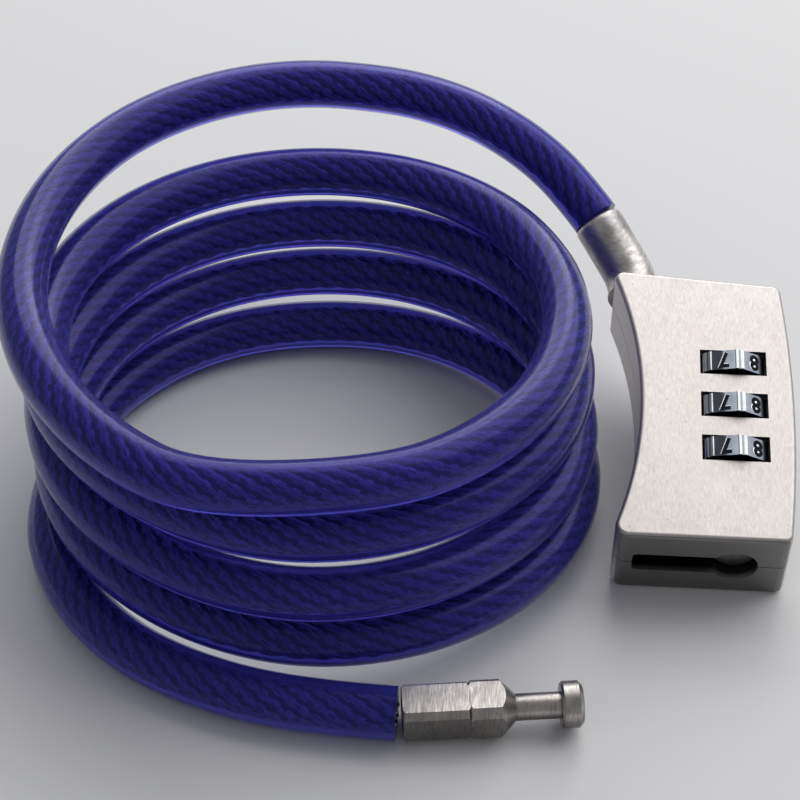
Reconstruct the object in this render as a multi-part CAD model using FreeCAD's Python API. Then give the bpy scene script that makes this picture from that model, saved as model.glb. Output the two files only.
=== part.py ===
import FreeCAD, Part
import math
import os

from FreeCAD import Vector

# A coiled-cable combination lock. All lengths are millimetres.
#
# The lock is drawn in its own frame first: Y runs along the dials' common axis, from the keyhole
# end (y = 0) to the cable end, X runs across the casing and Z through its thickness, with the
# dials' axis at x = 0, z = 0. It is then tilted, so that it stands on the lower edge of its
# keyhole end, and moved so that the origin is at the bottom centre of its box.

# Casing
CASE_LEFT = 19.1            # dial axis to the corners on the hollow side
SIDE_WALL = 0.7             # dial pocket to the fullest part of the bulging side
END_WALL = 1.1              # behind the spring's seat
END_SLANT = 2.1             # how much shorter the bulging side is
CASE_THICKNESS = 14.2
HOLLOW_DEPTH = 4.6
BULGE_HEIGHT = 1.4
CORNER_RADIUS = 1.4
KEYHOLE_CORNER_RADIUS = 2.0
EDGE_RADIUS = 0.7
SEAM_WIDTH = 0.14
SEAM_DEPTH = 0.25
LEAN = 11.3                 # degrees that the cable end is raised

# Dials
DIAL_COUNT = 3
DIAL_PITCH = 8.28
FIRST_DIAL = 16.76          # keyhole end to the middle of the nearest dial
DIAL_WIDTH = 3.7
DIAL_PROUD = 1.3            # how far a dial's ridges stand out of the casing's faces
DIAL_STATIONS = 10
RIDGE_HEIGHT = 0.28
RIDGE_WIDTH = 0.34
RIDGE_SPACING = 0.87        # between the two ridges that part neighbouring digits
RIDGE_SLOPE = 0.12
DIAL_TURN = 6.5             # degrees from the top of a dial to its nearest pair of ridges
DIAL_CHAMFER = 0.15
DIAL_GAP = 0.2              # round a dial, and at each of its sides
WINDOW_SPARE = 0.32         # all round a window's mouth, beyond the pocket behind it
WINDOW_DEPTH = 1.2

# Code sleeves, one inside each dial
SLEEVE_RADIUS = 4.15
SLEEVE_FIT = 0.06
LUG_HEIGHT = 0.7
LUG_WIDTH = 1.2
LUG_GAP = 0.1
SLEEVE_END_GAP = 0.12

# Locking spindle and its fins
SPINDLE_RADIUS = 1.7
SPINDLE_FIT = 0.08
SPINDLE_RECESS = 2.25       # its nose, below the keyhole end's face
NOSE_RADIUS = 3.4
NOSE_GAP = 0.1
NOSE_LENGTH = 3.6
FIN_RADIUS = 3.0
FIN_THICKNESS = 1.2
FIN_WIDTH = 1.4
FIN_ROOT = 0.6
FIN_GAP = 0.12
FIN_FIT = 0.02
COLLAR_RADIUS = 2.4
COLLAR_LENGTH = 1.0
COLLAR_GAP = 0.2
COLLAR_STOP_GAP = 0.05      # between the collar and the wall that stops it

# Spindle spring and its seat
SPRING_RADIUS = 0.95        # to the middle of its wire
SPRING_WIRE = 0.3
SPRING_TURNS = 9
SPRING_WELL = 9.0           # depth of the blind bore in the spindle's tail
SPRING_WELL_RADIUS = 1.2
SEAT_THICKNESS = 0.5
SEAT_PIN_RADIUS = 0.6
SEAT_PIN_LENGTH = 1.6
TRAVEL_SPARE = 0.12

# Keyhole
KEYHOLE_WALL = 5.6
SLOT_WIDTH = 4.1
SLOT_REACH = 15.4           # dial axis to the slot's far end
SLOT_CORNER = 0.7
CHAMBER_DEPTH = 4.9
CHAMBER_WALL = 0.8          # left between the chamber and the hollow side
HEAD_GAP = 0.2

# Detent leaf
LEAF_THICKNESS = 0.3
LEAF_HEIGHT = 3.6
LEAF_RISE = 1.9             # of each finger, from the strip to its tip
LEAF_GAP = 0.08             # between a finger's tip and the ridges
LEAF_POCKET_GAP = 0.15

# Rivets
RIVET_RADIUS = 1.0
RIVET_HEAD_RADIUS = 1.8
RIVET_HEAD_DEPTH = 0.8
RIVET_TOP_WALL = 2.2
RIVET_FIT = 0.03
RIVET_PLACES = [(-13.3, 13.8), (5.6, 12.4), (-11.4, 40.8), (5.4, 44.2)]

# Cable and its fittings
CABLE_DIAMETER = 8.0
FERRULE_RADIUS = 4.1
FERRULE_LENGTH = 12.6       # from its bend to the cable's jacket
FERRULE_OFFSET = 15.2       # dial axis to the cable seat's axis
FERRULE_STAND = 3.6         # the end face to the bend
FERRULE_BEND = 45.5         # degrees between the cable seat's axis and the sleeve
FERRULE_ROLL = 146.0        # degrees from the seat's own X towards Z, in which it bends
FERRULE_ROUNDING = 1.3
TONGUE_WIDTH = 2.2          # the neck through the end wall
TONGUE_HEIGHT = 6.0
TONGUE_WALL = 2.2
TONGUE_FIT = 0.06
STOP_WIDTH = 3.4            # the bar behind the end wall
STOP_HEIGHT = 8.4
STOP_LENGTH = 1.8

# Loose first turn of the cable, by hand, in the standing frame
LEAD_POINTS = [
    (-21.6, 41.5, 27.8), (-27.6, 46.1, 31.0), (-35.1, 50.4, 33.5), (-43.3, 53.4, 35.3),
    (-52.7, 55.0, 36.5), (-67.7, 54.5, 37.7), (-82.0, 49.4, 37.9), (-94.2, 39.8, 37.6),
    (-102.4, 26.0, 37.2), (-105.8, 9.2, 36.9), (-104.2, -8.0, 36.7), (-97.4, -23.4, 36.2),
    (-86.6, -35.4, 35.3), (-73.3, -42.4, 34.2),
]

# Coiled turns
COIL_RADIUS = 41.0
COIL_TURNS = 3.5
COIL_PITCH = 8.4
COIL_TOP = 33.4
COIL_CENTRE = (-62.5, 0.8)
COIL_DRIFT = (0.9, -2.3)    # how far each lower turn lies from the one above

# Free end of the cable, from where it leaves the coil, by hand, in the standing frame
TAIL_POINTS = [
    (-101.2, -18.5, 4.0), (-95.8, -33.0, 4.0), (-85.4, -44.6, 4.0), (-71.8, -51.2, 4.0),
    (-57.4, -54.3, 4.0), (-44.3, -54.7, 4.0),
]

# Stud on the free end
CRIMP_RADIUS = 4.0
CRIMP_LENGTH = 9.6
CRIMP_FLAT = 3.24           # the sleeve's axis to each of the four flats
CRIMP_EDGE = 0.3
CRIMP_ROLL = 12.6           # degrees that the flats are turned about the axis
STUD_COLLAR_RADIUS = 4.15
STUD_COLLAR_LENGTH = 4.4
STUD_COLLAR_FLAT = 3.46
STUD_CONE_LENGTH = 2.2
STUD_SHANK_RADIUS = 1.95
STUD_SHANK_LENGTH = 6.5
STUD_HEAD_RADIUS = 3.4
STUD_HEAD_LENGTH = 3.1
STUD_HEAD_EDGE = 0.6
STUD_TURN = 7.6             # degrees from X to the stud's axis
STUD_GAP = 0.7              # the end of the cable's jacket to the crimp

# Sizes that follow
HALF = CASE_THICKNESS / 2
CABLE_RADIUS = CABLE_DIAMETER / 2
DIAL_RADIUS = HALF + DIAL_PROUD
POCKET_RADIUS = DIAL_RADIUS + DIAL_GAP
POCKET_WIDTH = DIAL_WIDTH + 2 * DIAL_GAP
CASE_RIGHT = POCKET_RADIUS + SIDE_WALL - BULGE_HEIGHT
BORE_RADIUS = SPINDLE_RADIUS + SPINDLE_FIT
ROUND_HOLE_RADIUS = NOSE_RADIUS + NOSE_GAP
CHAMBER_END = KEYHOLE_WALL + CHAMBER_DEPTH
TRAVEL = DIAL_PITCH
LAST_DIAL = FIRST_DIAL + (DIAL_COUNT - 1) * DIAL_PITCH
KEYWAY_END = LAST_DIAL + DIAL_PITCH / 2 + FIN_THICKNESS / 2 + DIAL_GAP
COLLAR_WALL_END = KEYWAY_END + CHAMBER_WALL
COLLAR_START = COLLAR_WALL_END + COLLAR_STOP_GAP
SPINDLE_END = COLLAR_START + COLLAR_LENGTH
SPRING_END = SPINDLE_END + TRAVEL + TRAVEL_SPARE
SEAT_END = SPRING_END + SEAT_THICKNESS
CASE_LENGTH = SEAT_END + END_WALL + END_SLANT * CASE_LEFT / (CASE_LEFT + CASE_RIGHT)
SLANT_ANGLE = math.degrees(math.atan2(END_SLANT, CASE_LEFT + CASE_RIGHT))
Y_AXIS = Vector(0, 1, 0)
DIALS = [FIRST_DIAL + i * DIAL_PITCH for i in range(DIAL_COUNT)]


def line(a, b):
    return Part.LineSegment(Vector(*a), Vector(*b)).toShape()


def arc(a, b, c):
    return Part.Arc(Vector(*a), Vector(*b), Vector(*c)).toShape()


def rod(radius, start, end, x=0.0, z=0.0):
    """A cylinder along Y."""
    return Part.makeCylinder(radius, end - start, Vector(x, start, z), Y_AXIS)


def block(x0, x1, y0, y1, z0, z1):
    return Part.makeBox(x1 - x0, y1 - y0, z1 - z0, Vector(x0, y0, z0))


def end_face_y(x):
    """Where the slanted cable end crosses the line at x."""
    return CASE_LENGTH - END_SLANT * (x + CASE_LEFT) / (CASE_LEFT + CASE_RIGHT)


def hollow_x(y):
    """The hollow side at y, from the circle through its two corners and its deepest point."""
    half = CASE_LENGTH / 2
    radius = (half ** 2 + HOLLOW_DEPTH ** 2) / (2 * HOLLOW_DEPTH)
    rise = math.sqrt(radius ** 2 - (y - half) ** 2) - (radius - HOLLOW_DEPTH)
    return -CASE_LEFT + rise


def case_outline(z):
    """The casing's outline: one hollow side, one bulging side and two straight ends."""
    short = CASE_LENGTH - END_SLANT
    left_low = (-CASE_LEFT, 0, z)
    right_low = (CASE_RIGHT, 0, z)
    right_high = (CASE_RIGHT, short, z)
    left_high = (-CASE_LEFT, CASE_LENGTH, z)
    return Part.Wire([
        line(left_low, right_low),
        arc(right_low, (CASE_RIGHT + BULGE_HEIGHT, short / 2, z), right_high),
        line(right_high, left_high),
        arc(left_high, (-CASE_LEFT + HOLLOW_DEPTH, CASE_LENGTH / 2, z), left_low),
    ])


def corner_edges(solid, x, y):
    """The upright edges of a solid at one corner of its outline."""
    near = []
    for edge in solid.Edges:
        a, b = edge.Vertexes[0].Point, edge.Vertexes[-1].Point
        if abs(a.z - b.z) > HALF and max(abs(a.x - x), abs(a.y - y), abs(b.x - x), abs(b.y - y)) < 0.01:
            near.append(edge)
    return near


def case_block():
    """The whole casing before it is split and hollowed, with its corners and edges rounded."""
    solid = Part.Face(case_outline(-HALF)).extrude(Vector(0, 0, CASE_THICKNESS))
    solid = solid.makeFillet(KEYHOLE_CORNER_RADIUS, corner_edges(solid, -CASE_LEFT, 0))
    for x, y in [(CASE_RIGHT, 0), (CASE_RIGHT, CASE_LENGTH - END_SLANT), (-CASE_LEFT, CASE_LENGTH)]:
        solid = solid.makeFillet(CORNER_RADIUS, corner_edges(solid, x, y))
    rims = [e for e in solid.Edges if abs(abs(e.CenterOfMass.z) - HALF) < 0.01]
    return solid.makeFillet(EDGE_RADIUS, rims)


def seam_groove(solid):
    """A fine groove round the casing where its two shells meet."""
    outline = solid.slice(Vector(0, 0, 1), -SEAM_WIDTH / 2)[0]
    slab = block(-2 * CASE_LENGTH, 2 * CASE_LENGTH, -1, 2 * CASE_LENGTH, -SEAM_WIDTH / 2, SEAM_WIDTH / 2)
    inner = Part.Face(outline.makeOffset2D(-SEAM_DEPTH))
    return slab.cut(inner.extrude(Vector(0, 0, SEAM_WIDTH)))


def stadium(reach, half_height, start, end):
    """A slot along -X from the dials' axis, with a round far end, cut through in Y."""
    centre = -reach + half_height
    slab = block(centre, 0, start, end, -half_height, half_height)
    return slab.fuse(rod(half_height, start, end, centre))


def slot_cut():
    """The shank's slot through the keyhole end, with small corners at its far end."""
    half = SLOT_WIDTH / 2
    slab = block(-SLOT_REACH, 0, -1, KEYHOLE_WALL, -half, half)
    corners = [e for e in slab.Edges if e.BoundBox.YLength > KEYHOLE_WALL and e.BoundBox.XMax < -half]
    return slab.makeFillet(SLOT_CORNER, corners)


def chamber_reach():
    """How far the head chamber may reach before it comes too near the hollow side."""
    return -hollow_x(CHAMBER_END) - CHAMBER_WALL


def keyhole_cuts():
    """The round hole, the slot beside it, and the chamber behind them that takes the stud's head."""
    half_chamber = STUD_HEAD_RADIUS + HEAD_GAP
    hole = rod(ROUND_HOLE_RADIUS, -1, FIRST_DIAL - DIAL_WIDTH / 2)
    chamber = stadium(chamber_reach(), half_chamber, KEYHOLE_WALL, CHAMBER_END)
    mouth = rod(half_chamber, KEYHOLE_WALL, CHAMBER_END)
    return [hole, slot_cut(), chamber, mouth]


def dial_cuts():
    """A round pocket for each dial. It breaks through both faces, where a window widens it."""
    cuts = [rod(POCKET_RADIUS, y - POCKET_WIDTH / 2, y + POCKET_WIDTH / 2) for y in DIALS]
    face = CASE_THICKNESS / 2
    half_width = math.sqrt(POCKET_RADIUS ** 2 - face ** 2) + WINDOW_SPARE
    half_length = POCKET_WIDTH / 2 + WINDOW_SPARE
    for y in DIALS:
        start, end = y - half_length, y + half_length
        cuts.append(block(-half_width, half_width, start, end, face - WINDOW_DEPTH, face + 1))
        cuts.append(block(-half_width, half_width, start, end, -face - 1, WINDOW_DEPTH - face))
    return cuts


def spindle_cuts():
    """The spindle's bore, the keyway of its fins and the room behind its tail."""
    half_key = FIN_WIDTH / 2 + FIN_GAP
    return [
        rod(BORE_RADIUS, FIRST_DIAL, SEAT_END),
        block(-half_key, half_key, FIRST_DIAL, KEYWAY_END, 0, FIN_RADIUS + FIN_GAP),
        rod(COLLAR_RADIUS + COLLAR_GAP, COLLAR_WALL_END, SEAT_END),
    ]


def leaf_tip_x():
    return -(DIAL_RADIUS + LEAF_GAP)


def leaf_path(x_shift):
    """The leaf's line from end to end, with one rounded finger at each dial."""
    low = leaf_tip_x() - LEAF_RISE - LEAF_THICKNESS + x_shift
    span = DIAL_WIDTH * 0.8
    start = DIALS[0] - DIAL_PITCH / 2
    edges = []
    y = start
    for centre in DIALS:
        edges.append(line((low, y, 0), (low, centre - span, 0)))
        edges.append(arc((low, centre - span, 0), (low + LEAF_RISE, centre, 0), (low, centre + span, 0)))
        y = centre + span
    edges.append(line((low, y, 0), (low, DIALS[-1] + DIAL_PITCH / 2, 0)))
    return edges


def detent_leaf():
    """One strip with a finger for each dial, which drops between two digits' ridges."""
    low = leaf_path(0)
    high = leaf_path(LEAF_THICKNESS)
    first, last = low[0].Vertexes[0].Point, low[-1].Vertexes[-1].Point
    first_up, last_up = high[0].Vertexes[0].Point, high[-1].Vertexes[-1].Point
    ends = [Part.LineSegment(first, first_up).toShape(), Part.LineSegment(last, last_up).toShape()]
    wire = Part.Wire(Part.__sortEdges__(low + high + ends))
    solid = Part.Face(wire).extrude(Vector(0, 0, LEAF_HEIGHT))
    solid.translate(Vector(0, 0, -LEAF_HEIGHT / 2))
    return solid


def leaf_cut():
    """The pocket beside the dials that holds the leaf."""
    back = leaf_tip_x() - LEAF_RISE - LEAF_THICKNESS - LEAF_POCKET_GAP
    start = DIALS[0] - DIAL_PITCH / 2 - LEAF_POCKET_GAP
    end = DIALS[-1] + DIAL_PITCH / 2 + LEAF_POCKET_GAP
    half = LEAF_HEIGHT / 2 + LEAF_POCKET_GAP
    return [block(back, leaf_tip_x() + LEAF_RISE / 2, start, end, -half, half)]


def rivet(x, y, spare=0.0):
    """A countersunk rivet from the back face, its top blind in the front shell."""
    top = HALF - RIVET_TOP_WALL + spare
    shank = Part.makeCylinder(RIVET_RADIUS + spare, top + HALF, Vector(x, y, -HALF))
    base = Vector(x, y, -HALF)
    head = Part.makeCone(RIVET_HEAD_RADIUS + spare, RIVET_RADIUS + spare, RIVET_HEAD_DEPTH, base)
    return shank.fuse(head)


def seat_placement():
    """The cable seat: Y along the outward normal of the slanted end, origin on that face."""
    entry = Vector(-FERRULE_OFFSET, end_face_y(-FERRULE_OFFSET), 0)
    return FreeCAD.Placement(entry, FreeCAD.Rotation(Vector(0, 0, 1), -SLANT_ANGLE))


def in_seat(solid):
    return solid.transformed(seat_placement().toMatrix(), True)


def tongue(spare=0.0):
    """The T-shaped tongue of the ferrule, or the hollow that traps it between the shells."""
    half_neck, half_stop = TONGUE_WIDTH / 2 + spare, STOP_WIDTH / 2 + spare
    neck_top, stop_top = TONGUE_HEIGHT / 2 + spare, STOP_HEIGHT / 2 + spare
    inner = -TONGUE_WALL - TONGUE_FIT + spare
    neck = block(-half_neck, half_neck, -TONGUE_WALL - STOP_LENGTH / 2, spare, -neck_top, neck_top)
    stop = block(-half_stop, half_stop, inner - STOP_LENGTH - 2 * spare, inner, -stop_top, stop_top)
    return in_seat(neck.fuse(stop))


def shells():
    """The casing's two cast halves, which meet at the middle of its thickness."""
    solid = case_block()
    solid = solid.cut(seam_groove(solid))
    cuts = keyhole_cuts() + dial_cuts() + spindle_cuts() + leaf_cut()
    cuts += [rivet(x, y, RIVET_FIT) for x, y in RIVET_PLACES]
    cuts.append(tongue(TONGUE_FIT))
    for tool in cuts:
        solid = solid.cut(tool)
    reach = 2 * CASE_LENGTH
    front = solid.common(block(-reach, reach, -reach, reach, 0, reach))
    back = solid.common(block(-reach, reach, -reach, reach, -reach, 0))
    return front, back


def polar(radius, degrees):
    """A point round the dials' axis. Zero is the front face's direction, and it turns towards +X."""
    angle = math.radians(degrees)
    return Vector(radius * math.sin(angle), 0, radius * math.cos(angle))


def dial_outline():
    """Ten flats, with a pair of fine ridges between each two of them."""
    base = DIAL_RADIUS - RIDGE_HEIGHT
    per_degree = math.radians(1) * DIAL_RADIUS
    inner = (RIDGE_SPACING - RIDGE_WIDTH) / 2 / per_degree
    outer = (RIDGE_SPACING + RIDGE_WIDTH) / 2 / per_degree
    slope = RIDGE_SLOPE / per_degree
    steps = [(-outer - slope, base), (-outer, DIAL_RADIUS), (-inner, DIAL_RADIUS), (-inner + slope, base)]
    steps += [(-angle, radius) for angle, radius in reversed(steps)]
    points = []
    for i in range(DIAL_STATIONS):
        middle = DIAL_TURN + i * 360.0 / DIAL_STATIONS
        points += [polar(radius, middle + angle) for angle, radius in steps]
    return Part.makePolygon(points + [points[0]])


def lug(radius, half_width, degrees):
    """A key on the sleeve, or the notch for one in the dial."""
    solid = block(-half_width, half_width, 0, DIAL_WIDTH, 0, radius)
    solid.rotate(Vector(0, 0, 0), Y_AXIS, degrees)
    return solid


def dial(y):
    """A digit ring, notched inside so that it can be keyed to its sleeve at any digit."""
    ring = Part.Face(dial_outline()).extrude(Vector(0, DIAL_WIDTH, 0))
    blank = Part.makeCylinder(DIAL_RADIUS, DIAL_WIDTH, Vector(0, 0, 0), Y_AXIS)
    ring = ring.common(blank.makeChamfer(DIAL_CHAMFER, [e for e in blank.Edges if len(e.Vertexes) == 1]))
    ring = ring.cut(rod(SLEEVE_RADIUS + SLEEVE_FIT, -1, DIAL_WIDTH + 1))
    for i in range(DIAL_STATIONS):
        turn = i * 360.0 / DIAL_STATIONS
        ring = ring.cut(lug(SLEEVE_RADIUS + LUG_HEIGHT + LUG_GAP, LUG_WIDTH / 2 + LUG_GAP, turn))
    ring.translate(Vector(0, y - DIAL_WIDTH / 2, 0))
    return ring


def dial_sleeve(y):
    """A code sleeve: two lugs key it to its dial, and its gate lets one fin of the spindle through."""
    sleeve = rod(SLEEVE_RADIUS, 0, DIAL_WIDTH)
    for turn in (90, 270):
        sleeve = sleeve.fuse(lug(SLEEVE_RADIUS + LUG_HEIGHT, LUG_WIDTH / 2, turn + 18))
    half_gate = FIN_WIDTH / 2 + FIN_GAP
    sleeve = sleeve.cut(rod(BORE_RADIUS, -1, DIAL_WIDTH + 1))
    sleeve = sleeve.cut(block(-half_gate, half_gate, -1, DIAL_WIDTH + 1, 0, FIN_RADIUS + FIN_GAP))
    sleeve = sleeve.removeSplitter()
    sleeve.translate(Vector(0, y - DIAL_WIDTH / 2, 0))
    return sleeve


def fin(y, spare=0.0):
    half = FIN_WIDTH / 2 + spare
    return block(-half, half, y - FIN_THICKNESS / 2 - spare, y + FIN_THICKNESS / 2 + spare,
                 FIN_ROOT - spare, FIN_RADIUS)


def fins(spare=0.0):
    """One fin ahead of each dial, half a pitch from its middle."""
    return [fin(y - DIAL_PITCH / 2, spare) for y in DIALS]


def locking_spindle():
    """The turned spindle: a nose that fills the round hole, a shaft, and a collar at its tail."""
    nose = rod(NOSE_RADIUS, SPINDLE_RECESS, SPINDLE_RECESS + NOSE_LENGTH)
    rims = [e for e in nose.Edges if len(e.Vertexes) == 1]
    nose = nose.makeChamfer(0.3, rims)
    solid = nose.fuse(rod(SPINDLE_RADIUS, SPINDLE_RECESS + 1, SPINDLE_END))
    solid = solid.fuse(rod(COLLAR_RADIUS, COLLAR_START, SPINDLE_END))
    solid = solid.cut(rod(SPRING_WELL_RADIUS, SPINDLE_END - SPRING_WELL, SPINDLE_END + 1))
    for slot in fins(FIN_FIT):
        solid = solid.cut(slot)
    return solid.removeSplitter()


def spindle_spring():
    """A compression spring from the bottom of the spindle's well to the seat."""
    start = SPINDLE_END - SPRING_WELL + SPRING_WIRE / 2
    length = SPRING_END - SPRING_WIRE / 2 - start
    helix = Part.makeHelix(length / SPRING_TURNS, length, SPRING_RADIUS)
    profile = Part.Wire([Part.makeCircle(SPRING_WIRE / 2, Vector(SPRING_RADIUS, 0, 0), Y_AXIS)])
    coil = Part.Wire(helix.Edges).makePipeShell([profile], True, True)
    coil.rotate(Vector(0, 0, 0), Vector(1, 0, 0), -90)
    coil.translate(Vector(0, start, 0))
    return coil


def spring_seat():
    """A disc at the end of the spring's room, with a pin that keeps the spring central."""
    disc = rod(COLLAR_RADIUS, SPRING_END, SEAT_END)
    return disc.fuse(rod(SEAT_PIN_RADIUS, SPRING_END - SEAT_PIN_LENGTH, SEAT_END)).removeSplitter()


def sleeve_direction():
    """The ferrule's direction in the cable seat's frame."""
    bend, roll = math.radians(FERRULE_BEND), math.radians(FERRULE_ROLL)
    return Vector(math.sin(bend) * math.cos(roll), math.cos(bend), math.sin(bend) * math.sin(roll))


def lock_ferrule():
    """The bent sleeve crimped on the cable, with the tongue that the shells trap."""
    bend = Vector(0, FERRULE_STAND, 0)
    end = bend + sleeve_direction() * FERRULE_LENGTH
    path, _ = rounded_path([(0, 0, 0), tuple(bend), tuple(end)], 0.9)
    profile = Part.Wire([Part.makeCircle(FERRULE_RADIUS, Vector(0, 0, 0), Y_AXIS)])
    sleeve = path.makePipeShell([profile], True, False)
    rim = [e for e in sleeve.Edges if e.CenterOfMass.distanceToPoint(end) < 0.01]
    sleeve = in_seat(sleeve.makeFillet(FERRULE_ROUNDING, rim))
    return sleeve.fuse(tongue()).removeSplitter()


def rounded_path(points, share=0.45):
    """Straight runs joined by tangent arcs that take that share of the shorter run, and their radii."""
    corners = [Vector(*p) for p in points]
    edges, radii = [], []
    last = corners[0]
    for before, corner, after in zip(corners, corners[1:], corners[2:]):
        back, ahead = before - corner, after - corner
        trim = share * min(back.Length, ahead.Length)
        half_turn = (math.pi - back.getAngle(ahead)) / 2
        radius = trim / math.tan(half_turn)
        back.normalize()
        ahead.normalize()
        start, end = corner + back * trim, corner + ahead * trim
        inward = (back + ahead).normalize()
        middle = corner + inward * (radius / math.cos(half_turn) - radius)
        edges.append(Part.LineSegment(last, start).toShape())
        edges.append(Part.Arc(start, middle, end).toShape())
        radii.append(radius)
        last = end
    edges.append(Part.LineSegment(last, corners[-1]).toShape())
    return Part.Wire(edges), radii


def cable_tube(points, name):
    """A plain tube along one stretch of the cable."""
    path, radii = rounded_path(points)
    start = Vector(*points[0])
    heading = Vector(*points[1]) - start
    profile = Part.Wire([Part.makeCircle(CABLE_RADIUS, start, heading)])
    tube = path.makePipeShell([profile], True, False)
    expected = path.Length * math.pi * CABLE_RADIUS ** 2
    print(name, "radii", [round(r, 1) for r in radii], "volume ratio", round(tube.Volume / expected, 4))
    return tube


def ring_at(radius, turn, z):
    """A level circle round the coil's centre at that turn."""
    x = COIL_CENTRE[0] + COIL_DRIFT[0] * turn
    y = COIL_CENTRE[1] + COIL_DRIFT[1] * turn
    return Part.Wire([Part.makeCircle(radius, Vector(x, y, z))])


def cable_coil():
    """The outer shape of the coiled turns, which lean as each one lies a little off the last."""
    first = 0.5
    top = COIL_TOP - COIL_PITCH * first + CABLE_RADIUS
    outer = Part.makeLoft([ring_at(COIL_RADIUS + CABLE_RADIUS, COIL_TURNS, 0),
                           ring_at(COIL_RADIUS + CABLE_RADIUS, first, top)], True, True)
    inner = Part.makeLoft([ring_at(COIL_RADIUS - CABLE_RADIUS, COIL_TURNS, 0),
                           ring_at(COIL_RADIUS - CABLE_RADIUS, first, top)], True, True)
    return outer.cut(inner)


def stud_axis():
    turn = math.radians(STUD_TURN)
    return Vector(math.cos(turn), math.sin(turn), 0)


def along_stud(distance):
    return Vector(*TAIL_POINTS[-1]) + stud_axis() * distance


def jaws(half_width, start, length):
    """The square left between four crimping jaws."""
    solid = Part.makeBox(2 * half_width, 2 * half_width, length, Vector(-half_width, -half_width, start))
    solid.rotate(Vector(0, 0, 0), Vector(0, 0, 1), CRIMP_ROLL)
    return solid


def stud_sleeve():
    """The crimp on the free end: a round sleeve pressed to four flats."""
    body = Part.makeCylinder(CRIMP_RADIUS, CRIMP_LENGTH, Vector(0, 0, 0))
    rims = [e for e in body.Edges if len(e.Vertexes) == 1]
    body = body.makeChamfer(CRIMP_EDGE, rims)
    return on_stud_axis(body.common(jaws(CRIMP_FLAT, 0, CRIMP_LENGTH)), STUD_GAP)


def on_stud_axis(solid, distance):
    """Lays a solid drawn along Z on the stud's axis, that far from the cable's end."""
    turn = FreeCAD.Rotation(Vector(0, 0, 1), stud_axis())
    return solid.transformed(FreeCAD.Placement(along_stud(distance), turn).toMatrix(), True)


def keyhole_stud():
    """The turned stud: a crimped collar that meets the keyhole's face, a cone, a shank and a head."""
    edge = STUD_HEAD_EDGE
    cone_start = STUD_COLLAR_LENGTH
    shank_start = cone_start + STUD_CONE_LENGTH
    head_start = shank_start + STUD_SHANK_LENGTH
    head_end = head_start + STUD_HEAD_LENGTH
    outline = [
        (0, 0), (STUD_COLLAR_RADIUS - edge / 2, 0), (STUD_COLLAR_RADIUS, edge / 2),
        (STUD_COLLAR_RADIUS, cone_start), (STUD_SHANK_RADIUS, shank_start), (STUD_SHANK_RADIUS, head_start),
        (STUD_HEAD_RADIUS - edge / 2, head_start), (STUD_HEAD_RADIUS, head_start + edge / 2),
        (STUD_HEAD_RADIUS, head_end - edge), (STUD_HEAD_RADIUS - edge, head_end), (0, head_end),
    ]
    points = [Vector(r, 0, h) for r, h in outline]
    profile = Part.Face(Part.makePolygon(points + [points[0]]))
    turned = profile.revolve(Vector(0, 0, 0), Vector(0, 0, 1), 360)
    pressed = turned.common(jaws(STUD_COLLAR_FLAT, 0, head_end))
    return on_stud_axis(pressed, STUD_GAP + CRIMP_LENGTH)


def lock_pieces():
    """Every piece of the lock itself, in its own frame."""
    front, back = shells()
    pieces = {
        "front_shell": front,
        "back_shell": back,
        "casing_rivets": Part.makeCompound([rivet(x, y) for x, y in RIVET_PLACES]),
        "locking_spindle": locking_spindle(),
        "spindle_fins": Part.makeCompound(fins()),
        "spindle_spring": spindle_spring(),
        "spring_seat": spring_seat(),
        "detent_leaf": detent_leaf(),
    }
    for i, y in enumerate(DIALS):
        pieces["dial_%d" % (i + 1)] = dial(y)
        pieces["dial_sleeve_%d" % (i + 1)] = dial_sleeve(y)
    return pieces


def standing_placement(solids):
    """Tilts the lock and puts the bottom centre of its box at the origin."""
    lean = FreeCAD.Placement(Vector(0, 0, 0), FreeCAD.Rotation(Vector(1, 0, 0), LEAN))
    box = FreeCAD.BoundBox()
    for solid in solids:
        box.add(solid.transformed(lean.toMatrix(), True).optimalBoundingBox())
    return FreeCAD.Placement(Vector(-box.Center.x, -box.Center.y, -box.ZMin), lean.Rotation)


def main():
    os.makedirs("parts", exist_ok=True)
    pieces = lock_pieces()
    stand = standing_placement(pieces.values())
    pieces["lock_ferrule"] = lock_ferrule()
    pieces = {name: solid.transformed(stand.toMatrix(), True) for name, solid in pieces.items()}
    ferrule_end = stand.multVec(seat_placement().multVec(
        Vector(0, FERRULE_STAND, 0) + sleeve_direction() * FERRULE_LENGTH))
    pieces["cable_lead"] = cable_tube([tuple(ferrule_end)] + LEAD_POINTS, "cable_lead")
    pieces["cable_coil"] = cable_coil()
    pieces["cable_tail"] = cable_tube(TAIL_POINTS, "cable_tail")
    pieces["stud_sleeve"] = stud_sleeve()
    pieces["keyhole_stud"] = keyhole_stud()
    for name, solid in pieces.items():
        solid.exportStep("parts/%s.step" % name)
        print(name, "solids", len(solid.Solids), "valid", solid.isValid(), "volume", round(solid.Volume, 1))
    axis = stand.Rotation.multVec(Y_AXIS)
    print("dial axis", [round(v, 5) for v in axis])
    for label, point in [("keyhole", Vector(0, 0, 0))] + [("dial", Vector(0, y, 0)) for y in DIALS]:
        print(label, [round(v, 3) for v in stand.multVec(point)])
    print("ferrule end", [round(v, 2) for v in ferrule_end])


main()
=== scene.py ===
import math

import bmesh
import bpy
from mathutils import Matrix, Vector


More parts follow.
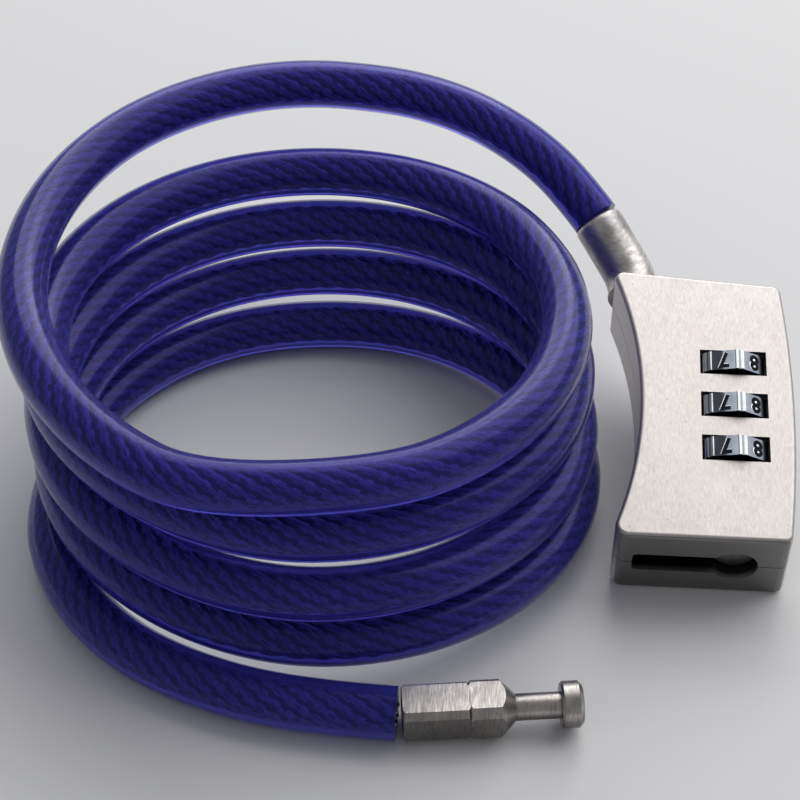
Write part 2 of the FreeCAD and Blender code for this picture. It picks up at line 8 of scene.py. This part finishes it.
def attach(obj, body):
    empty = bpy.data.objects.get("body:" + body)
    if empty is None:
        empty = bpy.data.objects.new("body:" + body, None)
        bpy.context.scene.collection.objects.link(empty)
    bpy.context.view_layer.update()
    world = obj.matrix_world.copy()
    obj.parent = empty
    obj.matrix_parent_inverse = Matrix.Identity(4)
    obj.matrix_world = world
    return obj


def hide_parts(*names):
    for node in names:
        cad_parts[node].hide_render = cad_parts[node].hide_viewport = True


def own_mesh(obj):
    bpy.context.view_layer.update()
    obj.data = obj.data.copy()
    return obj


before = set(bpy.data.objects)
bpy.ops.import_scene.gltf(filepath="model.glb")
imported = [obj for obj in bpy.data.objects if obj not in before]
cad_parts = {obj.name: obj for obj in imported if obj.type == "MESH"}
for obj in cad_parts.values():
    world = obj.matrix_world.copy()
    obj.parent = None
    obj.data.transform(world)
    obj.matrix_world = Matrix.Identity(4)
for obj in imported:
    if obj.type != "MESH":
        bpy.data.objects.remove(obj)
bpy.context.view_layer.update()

MM = 0.001

# The lock's own frame: Y along the dials' axis from the keyhole end, tilted about X.
LEAN = math.radians(11.3)
KEYHOLE = Vector((4.583, -25.218, 6.839)) * MM
LOCK = Matrix.Translation(KEYHOLE) @ Matrix.Rotation(LEAN, 4, "X")
AXIS = (0, math.cos(LEAN), math.sin(LEAN))

# The keyhole in that frame, in millimetres.
KEYHOLE_LEFT = -15.7            # beyond the end of its slot
KEYHOLE_RIGHT = 3.7             # beyond its round part
KEYHOLE_HALF_HEIGHT = 3.7
KEYHOLE_DEPTH = 12.0
KEYHOLE_LIP = 0.15              # clean metal before the painted shade on its walls begins
KEYHOLE_FADE = 0.9              # depth over which that painted shade deepens

# The dials and their digits, in millimetres and degrees.
FIRST_DIAL = 16.76              # from the keyhole end
DIAL_PITCH = 8.28
FLAT_RADIUS = 7.915             # a dial's axis to the middle of a flat
DIAL_RISE = 0.485               # from there to the top of its ridges
EDGE_RADIUS = 7.919             # to the digits' bright edges, a painted highlight, just above the flat
EDGE_HEIGHT = 3.15
EDGE_BOLDNESS = 0.060
EDGE_SHIFT = 0.07               # light falls on one side of an engraved digit
INK_RADIUS = 7.926              # to the digits' black filling, just above the edges
INK_HEIGHT = 3.05
INK_BOLDNESS = 0.045
DIGIT_WIDTH = 0.80              # share of the typeface's own width
SHOWN_DIGIT = 7                 # nearest to the middle of the window
SHOWN_ANGLE = -11.5             # of its flat, from straight up out of the window
DIGIT_ANGLE = 36                # from one digit to the next

# The cable's route, in millimetres. LEAD_START, LEAD and TAIL repeat part.py. An optimiser placed the
# first six points of LEAD along the photograph's cable; the rest of LEAD, and TAIL, were given.
CABLE_RADIUS = 4.0
LEAD_START = (-17.08, 36.82, 24.36)
LEAD = [
    (-21.6, 41.5, 27.8), (-27.6, 46.1, 31.0), (-35.1, 50.4, 33.5), (-43.3, 53.4, 35.3),
    (-52.7, 55.0, 36.5), (-67.7, 54.5, 37.7), (-82.0, 49.4, 37.9), (-94.2, 39.8, 37.6),
    (-102.4, 26.0, 37.2), (-105.8, 9.2, 36.9), (-104.2, -8.0, 36.7), (-97.4, -23.4, 36.2),
    (-86.6, -35.4, 35.3), (-73.3, -42.4, 34.2),
]
FRONTS = [-41.1, -41.5, -45.0, -46.0]   # how far each turn reaches to the front, from the top one down
BACKS = [41.4, 38.3, 35.9, 32.0]        # and to the back
COIL_TURNS = 3.5
COIL_STEPS = 16                 # points to a turn
COIL_RADIUS = 41.0
COIL_CENTRE = -62.5             # across
COIL_DRIFT = 0.9                # across, from one turn to the next
COIL_TOP = 33.4
COIL_PITCH = 8.4
COIL_LIFT = 1.85                # in each turn's second half, over the turn below
JOIN = [(-76.5, 28.7, 4.0), (-90.0, 19.5, 4.0), (-99.4, 4.5, 4.0)]  # from the lowest turn to the tail
TAIL = [
    (-101.2, -18.5, 4.0), (-95.8, -33.0, 4.0), (-85.4, -44.6, 4.0), (-71.8, -51.2, 4.0),
    (-57.4, -54.3, 4.0), (-44.3, -54.7, 4.0),
]

# The rope inside it, in millimetres.
ROPE_CORE_RADIUS = 1.0
ROPE_CORE_SIDES = 8
ROPE_LAY = 21.5                 # length in which a strand goes once round
ROPE_STEP = 1.0                 # between the rings of a strand's mesh
STRANDS = 6
STRAND_OFFSET = 1.42            # the cable's centre line to a strand's
STRAND_RADIUS = 0.62
STRAND_VALLEY = 0.50            # a strand's radius between two of its wires
STRAND_ANGLES = (-180, -95, -70, -52, -35, -17, 0, 17, 35, 52, 70, 95)  # wires and valleys by turns
# Where a strand's faces take the core's near black, as painted shade between the strands:
DEEP_FLANK = 1.25               # radians round a strand from its outermost line
DASHED_FLANK = 0.95
SPOT_STEP = 5                   # rings from one spot of painted shade to the next

# ---------------------------------------------------------------- materials

def colours(sockets):
    return [socket for socket in sockets if socket.type == "RGBA"]


class Shader:
    """A small helper round one material's nodes."""

    def __init__(self, name):
        self.mat = bpy.data.materials.new(name)
        self.mat.use_nodes = True
        self.tree = self.mat.node_tree
        self.bsdf = self.tree.nodes["Principled BSDF"]

    def node(self, kind, **inputs):
        n = self.tree.nodes.new(kind)
        for key, value in inputs.items():
            n.inputs[key.replace("_", " ")].default_value = value
        return n

    def link(self, a, b):
        self.tree.links.new(a, b)

    def set(self, **inputs):
        for key, value in inputs.items():
            self.bsdf.inputs[key.replace("_", " ")].default_value = value

    def feed(self, name, output):
        """Give one input of the surface shader an output of another node."""
        self.link(output, self.bsdf.inputs[name])

    def place(self):
        return self.node("ShaderNodeTexCoord").outputs["Object"]

    def normal(self, kind="Normal"):
        return self.node("ShaderNodeNewGeometry").outputs[kind]

    def coords(self, turn=(0, 0, 0), scale=(1, 1, 1)):
        """Object coordinates, turned back into the lock's frame if asked, then stretched."""
        m = self.node("ShaderNodeMapping", Rotation=turn, Scale=scale)
        self.link(self.place(), m.inputs["Vector"])
        return m.outputs["Vector"]

    def split(self, vector):
        """The X, Y and Z of a vector."""
        n = self.node("ShaderNodeSeparateXYZ")
        self.link(vector, n.inputs["Vector"])
        return n.outputs

    def noise(self, vector, scale, detail=3.0, rough=0.5):
        n = self.node("ShaderNodeTexNoise", Scale=scale, Detail=detail, Roughness=rough)
        self.link(vector, n.inputs["Vector"])
        return n.outputs["Fac"]

    def ramp(self, value, stops):
        r = self.node("ShaderNodeValToRGB")
        while len(r.color_ramp.elements) < len(stops):
            r.color_ramp.elements.new(0.5)
        for e, (at, colour) in zip(r.color_ramp.elements, stops):
            e.position = at
            e.color = (*colour, 1) if isinstance(colour, tuple) else (colour, colour, colour, 1)
        self.link(value, r.inputs["Fac"])
        return r.outputs["Color"]

    def math(self, op, a, b=None, clamp=False):
        n = self.node("ShaderNodeMath")
        n.operation = op
        n.use_clamp = clamp
        for i, v in enumerate((a, b)):
            if v is None:
                continue
            if isinstance(v, (int, float)):
                n.inputs[i].default_value = v
            else:
                self.link(v, n.inputs[i])
        return n.outputs[0]

    def vector(self, op, a, b=None, output="Vector"):
        """A vector operation on an output and, if given, a fixed vector."""
        n = self.node("ShaderNodeVectorMath")
        n.operation = op
        self.link(a, n.inputs[0])
        if b is not None:
            n.inputs[1].default_value = b
        return n.outputs[output]

    def mix(self, factor, a, b):
        """From output a to b, which is a colour or an output, by an output's share."""
        n = self.node("ShaderNodeMix")
        n.data_type = "RGBA"
        self.link(factor, n.inputs["Factor"])
        first, second = colours(n.inputs)
        self.link(a, first)
        if isinstance(b, tuple):
            second.default_value = (*b, 1)
        else:
            self.link(b, second)
        return colours(n.outputs)[0]

    def multiply(self, a, b, share):
        """Output a darkened by output b, to a fixed share."""
        n = self.node("ShaderNodeMix")
        n.data_type = "RGBA"
        n.blend_type = "MULTIPLY"
        n.inputs["Factor"].default_value = share
        for value, socket in zip((a, b), colours(n.inputs)):
            self.link(value, socket)
        return colours(n.outputs)[0]

    def bump(self, height, strength, distance=0.0001):
        b = self.node("ShaderNodeBump", Strength=strength, Distance=distance)
        self.link(height, b.inputs["Height"])
        self.feed("Normal", b.outputs["Normal"])


def keyhole_depth(s):
    """0 outside the keyhole, rising to 1 on the rough cast walls inside it: how far painted shade darkens
    them.
    """
    m = s.node("ShaderNodeMapping", Location=KEYHOLE, Rotation=(LEAN, 0, 0))
    m.vector_type = "TEXTURE"
    s.link(s.place(), m.inputs["Vector"])
    x, y, z = s.split(m.outputs["Vector"])
    depth = s.math("SUBTRACT", y, KEYHOLE_LIP * MM)
    depth = s.math("MULTIPLY", depth, 1 / (KEYHOLE_FADE * MM), clamp=True)
    limits = (
        s.math("GREATER_THAN", x, KEYHOLE_LEFT * MM),
        s.math("LESS_THAN", x, KEYHOLE_RIGHT * MM),
        s.math("LESS_THAN", s.math("ABSOLUTE", z), KEYHOLE_HALF_HEIGHT * MM),
        s.math("LESS_THAN", y, KEYHOLE_DEPTH * MM),
    )
    for inside in limits:
        depth = s.math("MULTIPLY", depth, inside)
    return depth


def brushed_casing():
    """Pale cast metal, brushed along its faces and across its ends, with nicks and dull patches; painted
    shade darkens its ends and the inside of its keyhole.
    """
    s = Shader("casing_brushed")
    s.set(Metallic=1.0)
    along = s.noise(s.coords((-LEAN, 0, 0), (5200, 75, 5200)), 1.0, 3.0, 0.6)
    across = s.noise(s.coords((-LEAN, 0, 0), (75, 5200, 5200)), 1.0, 3.0, 0.6)
    facing = s.vector("DOT_PRODUCT", s.normal(), AXIS, "Value")
    ends = s.math("GREATER_THAN", s.math("ABSOLUTE", facing), 0.7)
    grain = s.mix(ends, along, across)
    blotch = s.noise(s.coords(), 110.0, 4.0, 0.6)
    specks = s.noise(s.coords(), 1300.0, 2.0, 0.55)
    tone = s.ramp(blotch, [(0.35, (0.562, 0.524, 0.503)), (0.65, (0.596, 0.563, 0.541))])
    brushed = s.multiply(tone, s.ramp(grain, [(0.32, 0.80), (0.64, 1.0)]), 0.55)
    worn = s.mix(s.ramp(specks, [(0.69, 0.0), (0.76, 0.6)]), brushed, (0.32, 0.30, 0.29))
    # Painted shade: the end faces, which look along the axis, are darkened towards dark grey.
    shaded_end_tone = s.mix(s.math("MULTIPLY", ends, 0.80), worn, (0.13, 0.13, 0.127))
    # Painted shade: the walls inside the keyhole go near black.
    s.feed("Base Color", s.mix(keyhole_depth(s), shaded_end_tone, (0.04, 0.04, 0.038)))
    s.feed("Roughness", s.ramp(grain, [(0.3, 0.50), (0.7, 0.38)]))
    height = s.math("ADD", s.math("MULTIPLY", grain, 0.7), s.math("MULTIPLY", blotch, 0.6))
    s.bump(height, 0.22, 0.00006)
    return s.mat


def polished(name, colour, dark, rough, scale=900.0, strength=0.12, streaks=None, under_shade=0.0):
    """Polished or turned metal with fine scratches, dull patches and small dents; painted shade darkens
    the faces turned downward.
    """
    s = Shader(name)
    s.set(Metallic=1.0)
    patch = s.noise(s.coords(), scale * 0.35, 5.0, 0.62)
    if streaks:
        fine = s.noise(s.coords(scale=streaks), 1.0, 3.0, 0.6)
    else:
        fine = s.noise(s.coords(), scale * 3.2, 3.0, 0.6)
    tone = s.ramp(patch, [(0.36, dark), (0.62, colour)])
    # Painted shade: faces turned downward are darkened towards near black, to the share given.
    if under_shade:
        low = s.math("SUBTRACT", 0.55, s.split(s.normal())["Z"])
        low = s.math("MULTIPLY", low, 1.8, clamp=True)
        tone = s.mix(s.math("MULTIPLY", low, under_shade), tone, (0.10, 0.098, 0.095))
    if streaks:
        tone = s.multiply(tone, s.ramp(fine, [(0.34, 0.55), (0.6, 1.0)]), 0.7)
    s.feed("Base Color", tone)
    s.feed("Roughness", s.ramp(fine, [(0.3, rough + 0.14), (0.7, rough)]))
    s.bump(s.math("ADD", patch, s.math("MULTIPLY", fine, 0.25)), strength)
    return s.mat


def dial_chrome():
    """Polished flats in dark blue-grey, partly painted reflection of dark surroundings, lightened towards
    the ridges that part them as a painted highlight, and sides painted near black as shade.
    """
    s = Shader("dial_chrome")
    s.set(Metallic=1.0)
    arm = s.vector("SUBTRACT", s.place(), KEYHOLE)
    radius = s.vector("LENGTH", s.vector("CROSS_PRODUCT", arm, AXIS), output="Value")
    rise = s.math("SUBTRACT", radius, FLAT_RADIUS * MM)
    share = s.math("MULTIPLY", rise, 1 / (DIAL_RISE * MM), clamp=True)
    # Painted reflection and highlight: the flats are darkened for the dark they mirror, and the ridge
    # tops are lightened where they catch the light.
    tone = s.ramp(share, [
        (0.0, (0.165, 0.185, 0.225)), (0.44, (0.22, 0.24, 0.275)), (0.58, (0.52, 0.54, 0.55)),
    ])
    # Painted shade: the dials' sides, which face along the axis, go near black.
    facing = s.vector("CROSS_PRODUCT", s.normal("True Normal"), AXIS)
    side = s.math("LESS_THAN", s.vector("LENGTH", facing, output="Value"), 0.4)
    tone = s.mix(side, tone, (0.035, 0.035, 0.04))
    rise = s.math("MULTIPLY", rise, s.math("SUBTRACT", 1.0, side))
    patch = s.noise(s.coords(), 520.0, 4.0, 0.6)
    s.feed("Base Color", s.multiply(tone, s.ramp(patch, [(0.35, 0.78), (0.62, 1.0)]), 0.8))
    fine = s.noise(s.coords(), 4200.0, 3.0, 0.6)
    s.feed("Roughness", s.ramp(fine, [(0.3, 0.20), (0.7, 0.10)]))
    crowned = s.math("ADD", s.math("MULTIPLY", rise, -1.3), s.math("MULTIPLY", patch, 0.000008))
    s.bump(crowned, 1.0, 1.0)
    return s.mat


def jacket():
    """The cable's blue jacket: clear, a little milky, with a soft gloss."""
    s = Shader("jacket_blue")
    s.set(Roughness=0.13, IOR=1.45, Transmission_Weight=0.74, Specular_Tint=(0.20, 0.15, 0.60, 1))
    s.set(Specular_IOR_Level=0.3, Coat_Weight=0.18, Coat_Roughness=0.28, Coat_IOR=1.45)
    haze = s.noise(s.coords(), 45.0, 2.0, 0.5)
    s.feed("Base Color", s.ramp(haze, [(0.3, (0.064, 0.064, 0.47)), (0.7, (0.080, 0.075, 0.54))]))
    s.bump(haze, 0.03, 0.0004)
    return s.mat


def rope_wire():
    """Drawn steel wire of the rope's strands, dull in places."""
    s = Shader("rope_steel")
    s.set(Metallic=0.4)
    fine = s.noise(s.coords(), 900.0, 3.0, 0.6)
    s.feed("Base Color", s.ramp(fine, [(0.32, (0.46, 0.45, 0.56)), (0.66, (0.86, 0.84, 0.94))]))
    s.feed("Roughness", s.ramp(fine, [(0.3, 0.72), (0.7, 0.58)]))
    s.bump(fine, 0.12)
    return s.mat


def rope_core():
    """The rope's core, painted near black as the shade seen between its strands; the strands' shaded
    flanks are painted with it too.
    """
    s = Shader("rope_core_painted_shade")
    fine = s.noise(s.coords(), 900.0, 3.0, 0.6)
    s.feed("Base Color", s.ramp(fine, [(0.3, (0.006, 0.006, 0.008)), (0.7, (0.02, 0.02, 0.026))]))
    s.feed("Roughness", s.ramp(fine, [(0.3, 0.7), (0.7, 0.5)]))
    return s.mat


def ink():
    """Black filling of the digits, slightly uneven."""
    s = Shader("digit_black")
    s.set(Specular_IOR_Level=0.15)
    fine = s.noise(s.coords(), 2500.0, 3.0, 0.6)
    s.feed("Base Color", s.ramp(fine, [(0.3, (0.004, 0.004, 0.005)), (0.7, (0.014, 0.014, 0.016))]))
    s.feed("Roughness", s.ramp(fine, [(0.3, 0.9), (0.7, 0.7)]))
    return s.mat


CASING = brushed_casing()
CHROME = dial_chrome()
BRASS = polished("sleeve_brass", (0.70, 0.55, 0.28), (0.50, 0.38, 0.18), 0.25)
SPINDLE = polished("spindle_steel", (0.36, 0.38, 0.35), (0.20, 0.22, 0.20), 0.30)
RIVETS = polished("rivet_steel", (0.62, 0.62, 0.63), (0.40, 0.40, 0.41), 0.30)
SPRING = polished("spring_steel", (0.45, 0.45, 0.46), (0.28, 0.28, 0.29), 0.28)
# The ferrule and the stud take painted shade on their downward faces.
FERRULE = polished(
    "ferrule_polished", (0.84, 0.80, 0.775), (0.50, 0.475, 0.46), 0.36,
    scale=300.0, strength=0.35, streaks=(700, 700, 2600), under_shade=0.25,
)
STUD = polished(
    "stud_turned", (0.66, 0.62, 0.585), (0.40, 0.375, 0.35), 0.25,
    scale=420.0, strength=0.22, streaks=(5200, 500, 500), under_shade=0.72,
)
JACKET = jacket()
ROPE = rope_wire()
ROPE_CORE_SHADE = rope_core()
INK = ink()
# A painted highlight: bright copies of the digits, shifted to one side under their black filling, where
# light catches an engraving's edge.
DIGIT_EDGE_HIGHLIGHT = polished("digit_edge_painted_highlight", (0.86, 0.88, 0.90), (0.60, 0.62, 0.64), 0.22)

CAD_LOOKS = {
    "front_shell": CASING, "back_shell": CASING, "casing_rivets": RIVETS,
    "dial_1": CHROME, "dial_2": CHROME, "dial_3": CHROME,
    "dial_sleeve_1": BRASS, "dial_sleeve_2": BRASS, "dial_sleeve_3": BRASS,
    "locking_spindle": SPINDLE, "spindle_fins": SPINDLE, "spindle_spring": SPRING,
    "spring_seat": BRASS, "detent_leaf": SPRING, "lock_ferrule": FERRULE,
    "stud_sleeve": STUD, "keyhole_stud": STUD,
}
for node, look in CAD_LOOKS.items():
    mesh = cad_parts[node].data
    mesh.materials.clear()
    mesh.materials.append(look)


# ---------------------------------------------------------------- small builders

def add_object(name, data, look=None):
    obj = bpy.data.objects.new(name, data)
    bpy.context.scene.collection.objects.link(obj)
    if look is not None:
        data.materials.append(look)
    return obj


def mesh_of(curve):
    """The mesh that Blender makes of a curve or a text."""
    source = add_object("source", curve)
    bpy.context.view_layer.update()
    evaluated = source.evaluated_get(bpy.context.evaluated_depsgraph_get())
    mesh = bpy.data.meshes.new_from_object(evaluated)
    bpy.data.objects.remove(source)
    return mesh


# ---------------------------------------------------------------- digits

def digit_mesh(digit, height, boldness):
    """One digit as a flat mesh in its own XY plane, centred."""
    curve = bpy.data.curves.new("digit", "FONT")
    curve.body = str(digit)
    curve.size = 1.0
    curve.offset = boldness
    curve.fill_mode = "BOTH"
    curve.resolution_u = 6
    mesh = mesh_of(curve)
    bpy.data.curves.remove(curve)
    xs = [v.co.x for v in mesh.vertices]
    ys = [v.co.y for v in mesh.vertices]
    scale = height / (max(ys) - min(ys))
    centre = Vector(((max(xs) + min(xs)) / 2, (max(ys) + min(ys)) / 2, 0))
    for v in mesh.vertices:
        v.co = (v.co - centre) * scale
    return mesh


DIGIT_MESHES = [digit_mesh(digit, INK_HEIGHT, INK_BOLDNESS) for digit in range(10)]
EDGE_MESHES = [digit_mesh(digit, EDGE_HEIGHT, EDGE_BOLDNESS) for digit in range(10)]


def dial_digits(name, y, flats, radius, shift, look):
    """Ten digits round one dial, each just above its flat, heads towards the keyhole."""
    whole = bmesh.new()
    for digit, flat in enumerate(flats):
        angle = math.radians(SHOWN_ANGLE + DIGIT_ANGLE * (digit - SHOWN_DIGIT))
        place = (
            LOCK
            @ Matrix.Translation(Vector((0, y * MM, 0)))
            @ Matrix.Rotation(angle, 4, "Y")
            @ Matrix.Translation(Vector((-shift, shift, radius)) * MM)
            @ Matrix.Rotation(math.pi, 4, "Z")
            @ Matrix.Diagonal((DIGIT_WIDTH * MM, MM, MM, 1))
        )
        copy = flat.copy()
        copy.transform(place)
        whole.from_mesh(copy)
        bpy.data.meshes.remove(copy)
    mesh = bpy.data.meshes.new(name)
    whole.to_mesh(mesh)
    whole.free()
    return add_object(name, mesh, look)


for i, body in enumerate(("first_dial", "second_dial", "third_dial")):
    centre = FIRST_DIAL + i * DIAL_PITCH
    digits = dial_digits("digits_%d" % (i + 1), centre, DIGIT_MESHES, INK_RADIUS, 0.0, INK)
    # Each dial's bright digit edges are a painted highlight on one side of its engravings.
    edges = dial_digits(
        "digit_edges_%d" % (i + 1), centre, EDGE_MESHES, EDGE_RADIUS, EDGE_SHIFT, DIGIT_EDGE_HIGHLIGHT)
    for piece in (digits, edges):
        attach(piece, body)
for flat in DIGIT_MESHES + EDGE_MESHES:
    bpy.data.meshes.remove(flat)


# ---------------------------------------------------------------- spindle's spring

def compressing_spring():
    """The spring's own coils, copied and fixed to the casing in place of its part. The real coils close
    up towards the seat as the spindle goes in; this copy doesn't.
    """
    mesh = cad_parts["spindle_spring"].data.copy()
    spring = add_object("spring_coils", mesh)
    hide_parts("spindle_spring")
    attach(spring, "casing")
    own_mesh(spring)


compressing_spring()


# ---------------------------------------------------------------- cable

def coil_point(u):
    """A point of the coiled turns; each turn lies a little off the last, on the ones below."""
    turn = int(u)
    part = u - turn
    last = len(FRONTS) - 1
    front, back = FRONTS[min(turn, last)], BACKS[min(turn, last)]
    lift = 0.0
    if part > 0.5:
        front = FRONTS[min(turn + 1, last)]
        lift = COIL_LIFT * math.sin(math.pi * ((part - 0.5) * 2) ** 1.3)
    x = COIL_CENTRE + COIL_DRIFT * u + COIL_RADIUS * math.sin(2 * math.pi * part)
    y = (front + back) / 2 - (back - front) / 2 * math.cos(2 * math.pi * part)
    return (x, y, max(CABLE_RADIUS, COIL_TOP - COIL_PITCH * u + lift))


def cable_points():
    """The whole route: the loose first turn, the coil and the free end."""
    steps = int(COIL_STEPS * COIL_TURNS)
    coil = [coil_point(i / COIL_STEPS) for i in range(1, steps + 1)]
    return [LEAD_START] + LEAD + coil + JOIN + TAIL


def cable_curve(name):
    """One open NURBS curve along the route."""
    curve = bpy.data.curves.new(name, "CURVE")
    curve.dimensions = "3D"
    spline = curve.splines.new("NURBS")
    points = cable_points()
    spline.points.add(len(points) - 1)
    for p, (x, y, z) in zip(spline.points, points):
        p.co = (x * MM, y * MM, z * MM, 1)
    spline.order_u = 3
    spline.use_endpoint_u = True
    spline.resolution_u = 8
    return curve


def curve_line(curve):
    """The points that the curve itself passes through."""
    mesh = mesh_of(curve)
    line = [v.co.copy() for v in mesh.vertices]
    bpy.data.meshes.remove(mesh)
    return line


def resample(line, step):
    """The same line with points an even step apart."""
    out, need = [line[0].copy()], step
    for a, b in zip(line, line[1:]):
        length = (b - a).length
        if length == 0:
            continue
        at = need
        while at <= length:
            out.append(a.lerp(b, at / length))
            at += step
        need = at - length
    out.append(line[-1].copy())
    return out


def frames(line):
    """Tangent and two carried normals at each point, without twist."""
    tangents = []
    for i in range(len(line)):
        t = line[min(i + 1, len(line) - 1)] - line[max(i - 1, 0)]
        tangents.append(t.normalized())
    normal = tangents[0].orthogonal().normalized()
    out = []
    for t in tangents:
        normal = (normal - t * normal.dot(t)).normalized()
        out.append((t, normal, t.cross(normal)))
    return out


def strand(bm, line, basis, offset, start, twist, outline, dark):
    """One strand wound round the line at that offset.

    It is painted dark as shade deep in its flanks, in dashes above them and in small spots between its
    wires.
    """
    rings = []
    travelled = 0.0
    for i, (p, (t, n, b)) in enumerate(zip(line, basis)):
        if i:
            travelled += (p - line[i - 1]).length
        a = start + travelled * twist
        out = n * math.cos(a) + b * math.sin(a)
        along = b * math.cos(a) - n * math.sin(a)
        centre = p + out * offset
        heading = (t + along * offset * twist).normalized()
        up = heading.cross(out).normalized()
        ring = []
        for w, radius in outline:
            ring.append(bm.verts.new(centre + (out * math.cos(w) + up * math.sin(w)) * radius))
        rings.append(ring)
    for i, (r0, r1) in enumerate(zip(rings, rings[1:])):
        for k in range(len(outline)):
            j = (k + 1) % len(outline)
            # Faces deep in the flanks, in dashes and in spots between wires take the core's near black as
            # painted shade.
            flank = max(abs(outline[k][0]), abs(outline[j][0]))
            if flank > DASHED_FLANK:
                shaded = flank > DEEP_FLANK or i % 2 == 0
            else:
                shaded = k % 2 == 1 and i % SPOT_STEP == k % SPOT_STEP
            face = bm.faces.new((r0[k], r0[j], r1[j], r1[k]))
            face.material_index = 1 if dark or shaded else 0
    bm.faces.new(list(reversed(rings[0]))).material_index = 1 if dark else 0
    bm.faces.new(rings[-1]).material_index = 1 if dark else 0


def rope(line):
    """The laid steel rope inside the jacket: a core and six strands, each with its wires' outline."""
    bm = bmesh.new()
    even = resample(line, ROPE_STEP * MM)
    basis = frames(even)
    side = 2 * math.pi / ROPE_CORE_SIDES
    core = [(side * k, ROPE_CORE_RADIUS * MM) for k in range(ROPE_CORE_SIDES)]
    strand(bm, even, basis, 0.0, 0, 0, core, True)
    wires = []
    for k, angle in enumerate(STRAND_ANGLES):
        wires.append((math.radians(angle), (STRAND_RADIUS if k % 2 == 0 else STRAND_VALLEY) * MM))
    twist = 2 * math.pi / (ROPE_LAY * MM)
    for k in range(STRANDS):
        strand(bm, even, basis, STRAND_OFFSET * MM, 2 * math.pi * k / STRANDS, twist, wires, False)
    mesh = bpy.data.meshes.new("cable_rope")
    bm.to_mesh(mesh)
    bm.free()
    for polygon in mesh.polygons:
        polygon.use_smooth = True
    obj = add_object("cable_rope", mesh, ROPE)
    # Second slot: the core's near black, painted shade on the core and on the strands' flanks.
    mesh.materials.append(ROPE_CORE_SHADE)
    return obj


route = cable_curve("cable_jacket")
centre_line = curve_line(route)
wire_rope = rope(centre_line)
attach(wire_rope, "casing")
route.bevel_depth = CABLE_RADIUS * MM
route.bevel_resolution = 6
route.use_fill_caps = True
cable = add_object("cable_jacket", route, JACKET)
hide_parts("cable_lead", "cable_coil", "cable_tail")
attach(cable, "casing")


# ---------------------------------------------------------------- stage, lights, camera

FLOOR_SIZE = 6.0
FLOOR_DROP = 0.0002             # under the part, so that the two don't share a plane


def floor():
    """A pale matt floor, which isn't part of the object."""
    s = Shader("floor_pale")
    s.set(Base_Color=(0.88, 0.88, 0.88, 1), Roughness=0.9)
    half = FLOOR_SIZE / 2
    corners = [(-half, -half), (half, -half), (half, half), (-half, half)]
    mesh = bpy.data.meshes.new("floor")
    mesh.from_pydata([(x, y, 0) for x, y in corners], [], [(0, 1, 2, 3)])
    obj = add_object("floor", mesh, s.mat)
    obj.matrix_world = Matrix.Translation(Vector((0, 0, -FLOOR_DROP)))


def area_light(name, at, target, size, power):
    """A rectangular lamp that faces its target."""
    lamp = bpy.data.lights.new(name, "AREA")
    lamp.shape = "RECTANGLE"
    lamp.size, lamp.size_y = size
    lamp.energy = power
    at, target = Vector(at), Vector(target)
    facing = (at - target).to_track_quat("Z", "Y").to_matrix().to_4x4()
    add_object(name, lamp).matrix_world = Matrix.Translation(at) @ facing


floor()
area_light("key_softbox", at=(0.40, 0.50, 0.78), target=(-0.02, 0.0, 0.0), size=(1.20, 1.05), power=6.8)
area_light("rear_softbox", at=(-0.15, 1.15, 0.74), target=(-0.05, 0.0, 0.02), size=(1.1, 0.75), power=5.8)

scene = bpy.context.scene
scene.view_settings.view_transform = "Standard"
scene.world = bpy.data.worlds.new("studio")
scene.world.use_nodes = True
background = scene.world.node_tree.nodes["Background"]
background.inputs["Color"].default_value = (0.85, 0.86, 0.90, 1)
background.inputs["Strength"].default_value = 0.28

lens = bpy.data.cameras.new("camera")
lens.lens = 99.0
lens.sensor_width = 36.0
lens.clip_start = 0.01
look_down = math.radians(41.6)
yaw = math.radians(3.66)
scene.camera = add_object("camera", lens)
scene.camera.matrix_world = (
    Matrix.Translation(Vector((-30.85, -258.58, 245.0)) * MM)
    @ Matrix.Rotation(yaw, 4, "Z")
    @ Matrix.Rotation(math.pi / 2 - look_down, 4, "X")
)
